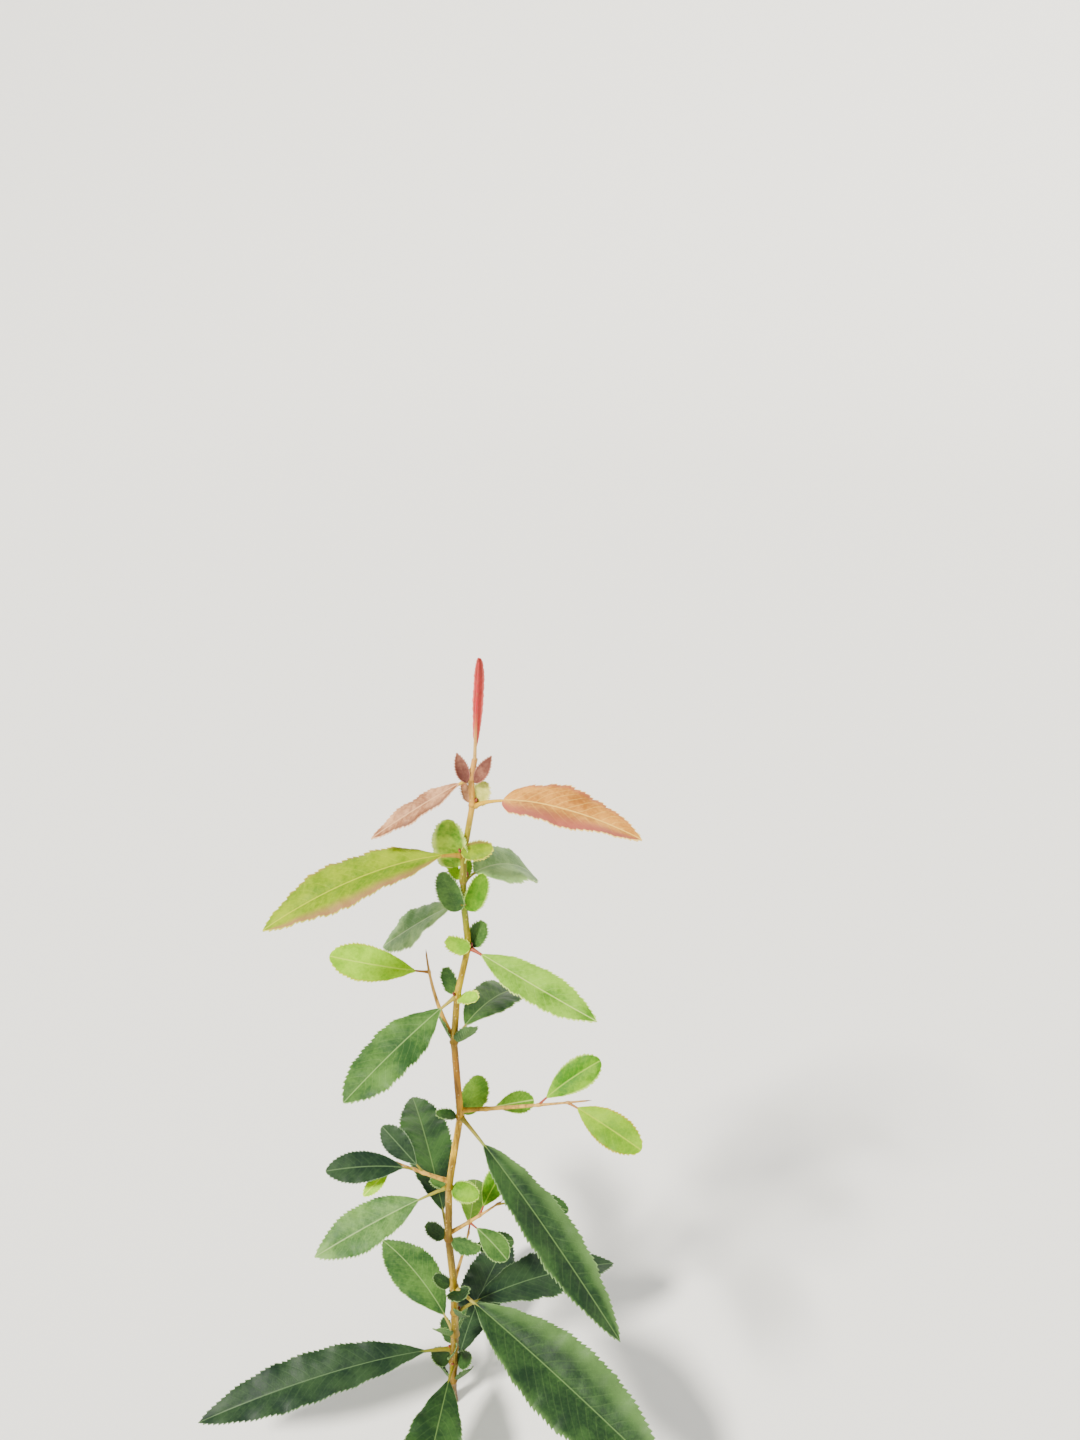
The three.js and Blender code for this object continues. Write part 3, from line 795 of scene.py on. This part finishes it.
def grown_leaf(number, row):
    """Stalk, midrib, blade and the two stipules of one joint."""
    height, _, bearing, rise, droop, stalk, length, width, roll, tint = row[:10]
    start = stem_centre(height) + heading(bearing) * stem_radius(height)
    path = Path(start, bearing, rise, droop, stalk + length,
                sweep=between(-10, 10, number, 2), roll=roll, twist=between(-14, 14, number, 4))
    shape = {
        "length": length, "width": width,
        "fold": between(12, 22, number, 5), "curl": between(14, 34, number, 6),
        "wave": 0.02 * width + between(0.2, 0.7, number, 7), "waves": between(1.6, 2.8, number, 8),
        "phase": between(0, 6, number, 9),
        "base": row[10] if row[10:] else between(0.78, 0.95, number, 10),
        "tip": between(0.78, 0.92, number, 11), "depth": 0.7 + 0.02 * width, "lumps": 0.5,
        "crinkle": between(*((0.03, 0.046) if length > MATURE_LENGTH else (0.01, 0.022)), number, 12),
    }
    thick = 0.72 + 0.0045 * length

    def radius(at):
        taper = lerp(1, 0.66, clamp(at / stalk)) * lerp(1, 0.2, clamp((at - stalk) / length) ** 0.8)
        return thick * taper * (1 + 0.45 * exp(-max(0, at + STALK_SINK) / 1.6))

    def hang(at):
        return lerp(0.3, 0.95, clamp((at - stalk + 1) / (0.06 * length)))

    name = f"leaf_{number:02d}"
    face = FACES.get(name, tint)
    steps = ceil((stalk + length) / 1.6)
    parts = [
        blade(path, stalk, shape, 24 if width > 20 else 18, 0, 1),
        use_slot(rod(path, -STALK_SINK, stalk + 0.97 * length, radius, 10, steps, hang), 2),
    ]
    materials = [UPPER[face], UNDER[face], STALKS[tint]]
    for index, ear_row in enumerate(ears_of(number, bearing, tint)):
        parts.append(ear(10 * number + index, height, ear_row, len(materials), len(materials) + 1))
        materials += [UPPER[ear_row[5]], UNDER[ear_row[5]]]
    return finish_piece(name + "_fine", parts, materials, name, "leaf_" + tint)


leaves = [grown_leaf(i + 1, row) for i, row in enumerate(JOINTS)]
print("faces of the stem's leaves:", sum(len(leaf.data.polygons) for leaf in leaves))

# %% The folded tip leaf
def folded_tip_leaf():
    """The youngest leaf, still folded, on the stem's own end."""
    leaf, tint = TIP_LEAF, "red"
    start = Vector((TIP_SWAY, 0, TIP_HEIGHT - 0.6))
    length, stalk = leaf["length"], leaf["stalk"] + 0.9
    path = Path(start, leaf["bearing"], leaf["rise"], leaf["droop"], stalk + length, roll=leaf["roll"])
    shape = {
        "length": length, "width": leaf["width"], "fold": leaf["fold"], "curl": 10,
        "wave": 0.5, "waves": 3, "base": 0.6, "tip": 0.42, "crinkle": 0.06, "depth": 0.35,
    }

    def radius(at):
        return 0.85 * lerp(1, 0.3, clamp(at / length))

    shaft = rod(path, 0, stalk + 0.96 * length, radius, 10, 34, lambda at: 0.3)
    parts = [blade(path, stalk, shape, 18, 0, 1), use_slot(shaft, 2)]
    materials = [UPPER[tint], UNDER[tint], STALKS[tint]]
    return finish_piece("tip_leaf_fine", parts, materials, "tip_leaf", "leaf_" + tint)


tip_leaf = folded_tip_leaf()
print("tip leaf reaches", round(max((v.co.z for v in tip_leaf.data.vertices)) * 1000), "mm")

# %% [markdown]
# ## Stem
# Young quince bark is smooth: olive brown at the foot, golden in the middle, yellow-green above that and tan near
# the tip. It has pale raised dots, the lenticels, fine long ridges, and a ring at every joint with a small bud
# above the stalk. The relief is made in the mesh, because it shows in the outline: a tall grid is rolled round the
# stem's line and pushed out by the ridges, rings and dots.

# %% Bark relief
# Each dot: its height, its turn round the stem and its half width. A shelf is a short stretch of the stem, and
# lists the dots that can reach into it, so that a place on the bark looks at a few dots only.
DOT_COUNT = 330
DOT_LONG = 1.5
DOT_RELIEF = 0.16
SHELF_HEIGHT = 4
RING_BELOW = 0.4
RING_HALF = 0.75
RING_RELIEF = 0.3
RIDGES = (0.05, 0.035)

DOTS = [(between(4, 470, i, 40), between(-pi, pi, i, 41), between(0.28, 0.5, i, 42)) for i in range(DOT_COUNT)]
SHELVES = {}
for dot in DOTS:
    shelf = floor(dot[0] / SHELF_HEIGHT)
    for near in (shelf - 1, shelf, shelf + 1):
        SHELVES.setdefault(near, []).append(dot)


def dot_height(z, angle, radius):
    """How much of a lenticel stands at a place on the bark, from 0 to 1."""
    height = 0
    for dot_z, dot_angle, size in SHELVES.get(floor(z / SHELF_HEIGHT), []):
        turn = (angle - dot_angle + pi) % (2 * pi) - pi
        away = ((z - dot_z) / (DOT_LONG * size)) ** 2 + (turn * radius / size) ** 2
        if away < 4:
            height = max(height, exp(-away))
    return height


def ring_height(z):
    """How much of a joint's ring stands at a height, from 0 to 1."""
    nearest = min((z - row[0] for row in JOINTS), key=abs)
    return exp(-(((nearest + RING_BELOW) / RING_HALF) ** 2))


def ridge_height(z, angle):
    broad, fine = RIDGES
    return broad * sin(5 * angle + 0.05 * z) + fine * sin(11 * angle - 0.11 * z + 2 * sin(z / 23))


print("lenticels:", len(DOTS))

# %% Bark colours
# Height in millimetres and the bark's colour from there on.
BARK_TONES = [
    (0, (84, 58, 16)), (30, (104, 78, 10)), (80, (118, 100, 20)), (95, (140, 114, 20)),
    (125, (118, 98, 12)), (165, (98, 76, 8)), (205, (122, 98, 10)), (232, (196, 156, 8)),
    (252, (188, 146, 8)), (275, (156, 108, 0)), (300, (164, 108, 0)), (318, (144, 120, 8)),
    (348, (178, 146, 6)), (372, (158, 140, 0)), (398, (98, 116, 14)), (424, (128, 124, 14)),
    (440, (150, 140, 24)), (456, (208, 152, 54)), (477, (196, 140, 72)),
]
DARK_STREAK = (76, 48, 4)
LIGHT_STREAK = (214, 172, 50)
DOT_TONE = (198, 170, 96)
RING_TONE = (112, 78, 20)


def bark_finish(name, tones, top):
    """Bark whose base colour follows a chart's second number, with streaks, dots and worn rings."""
    finish = Finish(name, specular=0.22)
    _, along = finish.chart("blade")
    dots, rings = finish.chart("veins")
    ramp = finish.node("ShaderNodeValToRGB", None, {"Fac": along})
    stops = ramp.socket.node.color_ramp.elements
    # A new ramp has two stops.
    while len(stops) < len(tones):
        stops.new(0.5)
    for stop, (height, tone) in zip(stops, tones):
        stop.position = clamp(height / top)
        stop.color = colour(*tone)
    streak = finish.noise(2.6, detail=4, stretch=(1, 1, 0.16))
    grain = finish.noise(0.7, detail=3)
    body = finish.mix(ramp, colour(*DARK_STREAK), streak.step(0.44, 0.7) * 0.7)
    body = finish.mix(body, colour(*LIGHT_STREAK), (1 - streak.step(0.26, 0.48)) * 0.4)
    body = finish.mix(body, colour(*DOT_TONE), dots.step(0.25, 0.7) * 0.6)
    body = finish.mix(body, colour(*RING_TONE), rings.step(0.3, 0.9) * 0.5)
    finish.feed("Base Color", body)
    finish.feed("Roughness", 0.42 + streak * 0.2 + dots * 0.15)
    finish.bump(grain * 0.5 + streak * 0.6, 0.16, 0.6)
    return finish.material


STEM_BARK = bark_finish("stem_bark_fine", BARK_TONES, TIP_HEIGHT)
print("bark tones:", len(BARK_TONES))

# %% Roll the stem
STEM_SIDES = 32
STEM_STEP = 0.55


def rolled_stem():
    """The stem's mesh. Its charts give the turn and the height, and the height of a dot and of a ring."""
    def height_of(y):
        return TIP_HEIGHT * (y + 1) / 2

    def place(x, y):
        z, angle = height_of(y), pi * x
        radius = stem_radius(z)
        bark = ridge_height(z, angle) + DOT_RELIEF * dot_height(z, angle, radius) + RING_RELIEF * ring_height(z)
        return stem_centre(z) + heading(180 * x) * (radius + bark)

    def relief_chart(x, y):
        z = height_of(y)
        return dot_height(z, pi * x, stem_radius(z)), ring_height(z)

    charts = {"blade": lambda x, y: (0.5 + x / 2, (y + 1) / 2), "veins": relief_chart}
    mesh = close_tube(bent_grid(STEM_SIDES, round(TIP_HEIGHT / STEM_STEP), charts, place))
    for face in mesh.faces:
        face.smooth = len(face.verts) < 5
    return mesh


stem_mesh = rolled_stem()
print("the stem holds", round(stem_mesh.calc_volume(signed=True) / 1000, 1), "cubic centimetres")

# %% Buds
BUD_LENGTH = 2.6
BUD_RADIUS = 0.85
BUD_ABOVE = 1.6


def bud_finish():
    finish = Finish("bud_scales", specular=0.4)
    patch = finish.noise(0.9, detail=3)
    finish.feed("Base Color", finish.mix(colour(88, 32, 22), colour(150, 72, 42), patch.step(0.35, 0.7)))
    finish.feed("Roughness", 0.45 + patch * 0.2)
    finish.bump(patch, 0.15, 0.7)
    return finish.material


def bud(height, bearing):
    """A pointed bud in the angle above a leaf's stalk."""
    foot = height + BUD_ABOVE
    base = stem_centre(foot) + heading(bearing) * (stem_radius(foot) + 0.15)
    mesh = bmesh.new()
    for name in ("blade", "veins"):
        mesh.loops.layers.uv.new(name)
    bmesh.ops.create_uvsphere(mesh, u_segments=12, v_segments=10, radius=BUD_RADIUS)
    for vertex in mesh.verts:
        x, y, z = vertex.co / BUD_RADIUS
        narrow = 1 - 0.55 * clamp(z) ** 1.5
        lean = 0.35 * (z + 1)
        out = BUD_RADIUS * (0.9 * x * narrow + lean)
        round_by = BUD_RADIUS * y * narrow
        local = heading(bearing) * out + heading(bearing + 90) * round_by
        vertex.co = base + local + Vector((0, 0, BUD_LENGTH / 2 * (z + 0.7)))
    for face in mesh.faces:
        face.smooth = True
    return use_slot(mesh, 1)


bud_rows = [row for row in JOINTS if all(abs(shoot["height"] - row[0]) > 6 for _, shoot, _ in SHOOTS)]
parts = [stem_mesh] + [bud(row[0], row[2]) for row in bud_rows]
stem = finish_piece("stem_fine", parts, [STEM_BARK, bud_finish()], "stem", "stem_bark")
print("stem faces:", len(stem.data.polygons), "buds:", len(bud_rows))

# %% [markdown]
# ## Side shoots
# Each short shoot is a tan twig that thins to a thorn. It could be a plain cone, but a real one has a swollen
# foot where it leaves the stem and little knots where its leaves sit, so the rod's radius is a function that
# adds them. Its small leaves are broadest past the middle, and turn their faces up to the light.

# %% Grow the side shoots
# Per cent of the shoot's length, and the bark's colour from there on.
SHOOT_TONES = [(0, (166, 124, 30)), (40, (188, 148, 62)), (80, (190, 146, 74)), (100, (110, 66, 34))]


def shoot_path(shoot):
    return Path(stem_centre(shoot["height"]), shoot["bearing"], shoot["rise"], -shoot["lift"], shoot["length"])


def shoot_radius(share):
    return lerp(SHOOT_RADIUS, THORN_RADIUS, share ** 1.3)


def grown_shoot(name, shoot, rows):
    path, length = shoot_path(shoot), shoot["length"]

    def radius(at):
        share = clamp(at / length)
        knots = sum(0.28 * exp(-(((at - row[0] * length) / 1.1) ** 2)) for row in rows)
        point = clamp((1 - share) * length / 3.5) ** 0.7
        return (shoot_radius(share) * (1 + 0.5 * exp(-at / 2.4)) + knots) * max(0.12, point)

    twig = rod(path, 0, length, radius, 14, ceil(length / 0.6))
    blade_chart = twig.loops.layers.uv["blade"]
    vein_chart = twig.loops.layers.uv["veins"]
    for face in twig.faces:
        for loop in face.loops:
            loop[blade_chart].uv.y = clamp(loop[vein_chart].uv.y * 10 / length)
            loop[vein_chart].uv = (0, 0)
    return finish_piece(name + "_fine", [twig], [SHOOT_BARK], name, "shoot_bark")


SHOOT_BARK = bark_finish("shoot_bark_fine", SHOOT_TONES, 100)
shoots = [grown_shoot(name, shoot, rows) for name, shoot, rows in SHOOTS]
print("shoot faces:", [len(piece.data.polygons) for piece in shoots])

# %% Grow the small leaves
def small_leaf(name, shoot, row, number, order):
    """A leaf on a side shoot, without stipules."""
    share, bearing, rise, droop, length, width, roll, tint = row
    part = 100 + 10 * order + number
    start = shoot_path(shoot).at(share * shoot["length"])[0]
    stalk = shoot_radius(share) + 3 + 0.06 * length
    path = Path(start, bearing, rise, droop, stalk + length,
                sweep=between(-8, 8, part, 2), roll=roll, twist=between(-12, 12, part, 4))
    shape = {
        "length": length, "width": width, "fold": between(8, 18, part, 5),
        "curl": between(10, 26, part, 6), "wave": 0.02 * width, "waves": 1.5, "crinkle": 0.016,
        "phase": between(0, 6, part, 9),
        "base": between(0.85, 1.05, part, 10), "tip": between(0.55, 0.75, part, 11),
    }

    def radius(at):
        return 0.6 * lerp(1, 0.2, clamp(at / (stalk + length))) * (1 + 0.5 * exp(-max(0, at - 1) / 1.2))

    def hang(at):
        return lerp(0.3, 0.95, clamp((at - stalk + 1) / (0.1 * length)))

    midrib = rod(path, 0, stalk + 0.96 * length, radius, 8, ceil((stalk + length) / 1.4), hang)
    parts = [blade(path, stalk, shape, 16, 0, 1), use_slot(midrib, 2)]
    node = f"{name}_leaf_{number}"
    face = FACES.get(node, tint)
    return finish_piece(node + "_fine", parts, [UPPER[face], UNDER[face], STALKS[tint]], node, "leaf_" + tint)


small_leaves = [
    small_leaf(name, shoot, row, number + 1, order + 1)
    for order, (name, shoot, rows) in enumerate(SHOOTS) for number, row in enumerate(rows)
]
print("faces of the small leaves:", sum(len(leaf.data.polygons) for leaf in small_leaves))

# %% [markdown]
# ## Floor and light
# The sapling stands on a plain pale floor. The photograph was taken under a bright hazy sky, with a broad sun high
# on the left. So a sun with a wide soft disk gives the shape, and a pale sky fills the shadows. Two metres away
# the floor sweeps up all round like studio paper. A low view still looks over its rim, so the camera alone sees a
# sky in the paper's own tone, which a Light Path node picks, and the light on the leaves stays as it is.

# %% Floor
FLOOR_REACH = 7
FLAT_REACH = 2.2
SWEEP_HEIGHT = 4.5


def plain_floor():
    """A round sheet of pale paper, in metres, flat under the plant and swept up all round."""
    def place(x, y):
        reach = FLOOR_REACH * (y + 1) / 2
        climb = clamp((reach - FLAT_REACH) / (FLOOR_REACH - FLAT_REACH))
        return heading(180 * x) * reach + Vector((0, 0, SWEEP_HEIGHT * climb ** 2))

    mesh = bent_grid(96, 48, {}, place)
    bmesh.ops.remove_doubles(mesh, verts=mesh.verts, dist=SEAM_GAP)
    for face in mesh.faces:
        face.smooth = True
    data = bpy.data.meshes.new("floor")
    mesh.to_mesh(data)
    mesh.free()
    finish = Finish("floor_paper", roughness=0.9, specular=0.1)
    finish.feed("Base Color", colour(232, 231, 227))
    data.materials.append(finish.material)
    floor_piece = bpy.data.objects.new("floor", data)
    bpy.context.collection.objects.link(floor_piece)
    return floor_piece


floor_piece = plain_floor()
print("floor is", round(floor_piece.dimensions.x), "m wide")

# %% Lights
def soft_sun(name, bearing, rise, strength, width, tone):
    """A sun that stands at a bearing and a rise, and whose disk is width degrees wide."""
    lamp = bpy.data.lights.new(name, "SUN")
    lamp.energy = strength
    lamp.angle = radians(width)
    lamp.color = tone
    holder = bpy.data.objects.new(name, lamp)
    away = heading(bearing) * cos(radians(rise)) + Vector((0, 0, sin(radians(rise))))
    holder.rotation_euler = away.to_track_quat("Z", "Y").to_euler()
    bpy.context.collection.objects.link(holder)


soft_sun("hazy_sun", -140, 50, 8.4, 10, (1, 0.96, 0.88))
soft_sun("low_fill", 20, 38, 0.6, 60, (0.92, 0.97, 1))

# %% Sky
def set_glow(shader, tone, strength):
    shader.inputs["Color"].default_value = tone
    shader.inputs["Strength"].default_value = strength


world = bpy.data.worlds.new("pale_sky")
world.use_nodes = True
sky = world.node_tree
sky_light, sky_look = sky.nodes["Background"], sky.nodes.new("ShaderNodeBackground")
ray, choice = sky.nodes.new("ShaderNodeLightPath"), sky.nodes.new("ShaderNodeMixShader")
set_glow(sky_light, (0.94, 0.96, 1, 1), 0.62)
set_glow(sky_look, (1, 0.99, 0.97, 1), 1.55)
sky.links.new(ray.outputs["Is Camera Ray"], choice.inputs[0])
sky.links.new(sky_light.outputs[0], choice.inputs[1])
sky.links.new(sky_look.outputs[0], choice.inputs[2])
sky.links.new(choice.outputs[0], sky.nodes["World Output"].inputs["Surface"])
bpy.context.scene.world = world
print("sky lights at", sky_light.inputs["Strength"].default_value, "and looks like the paper's rim")

# %% [markdown]
